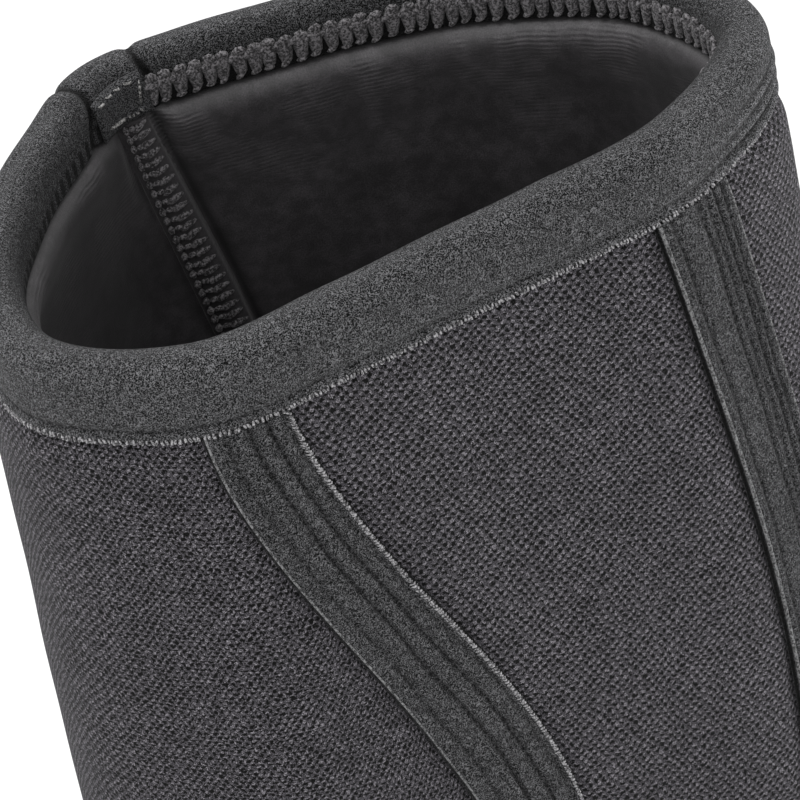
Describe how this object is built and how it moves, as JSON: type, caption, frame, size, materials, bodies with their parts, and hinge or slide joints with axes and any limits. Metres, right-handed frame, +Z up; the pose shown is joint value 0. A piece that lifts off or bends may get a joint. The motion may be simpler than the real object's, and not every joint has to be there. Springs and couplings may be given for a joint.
{
  "type": "knee sleeve",
  "caption": "Thick pull-on knee sleeve of knit-faced foam rubber, open at both ends, with bound rims, flat-taped curved front seams and an overlocked back seam.",
  "frame": {"origin": "middle of the overall width and depth, on the surface that the sleeve stands on", "axes": "+Z up along the leg towards the thigh end; the front of the knee faces -Y and the back +Y"},
  "size_m": [0.1544, 0.105, 0.2809],
  "materials": {
    "knit_faced_foam": "matte pique knit outside, fine jersey inside, over foam rubber",
    "brushed_binding": "matte brushed stretch binding",
    "brushed_tape": "matte brushed seam tape",
    "overlock_thread": "matte overlock stitching over folded lining"
  },
  "bodies": {
    "root": {"left_panel": "knit_faced_foam", "front_panel": "knit_faced_foam", "right_panel": "knit_faced_foam", "upper_binding": "brushed_binding", "lower_binding": "brushed_binding", "left_seam_tape": "brushed_tape", "right_seam_tape": "brushed_tape", "back_seam": "overlock_thread"}
  },
  "joints": []
}
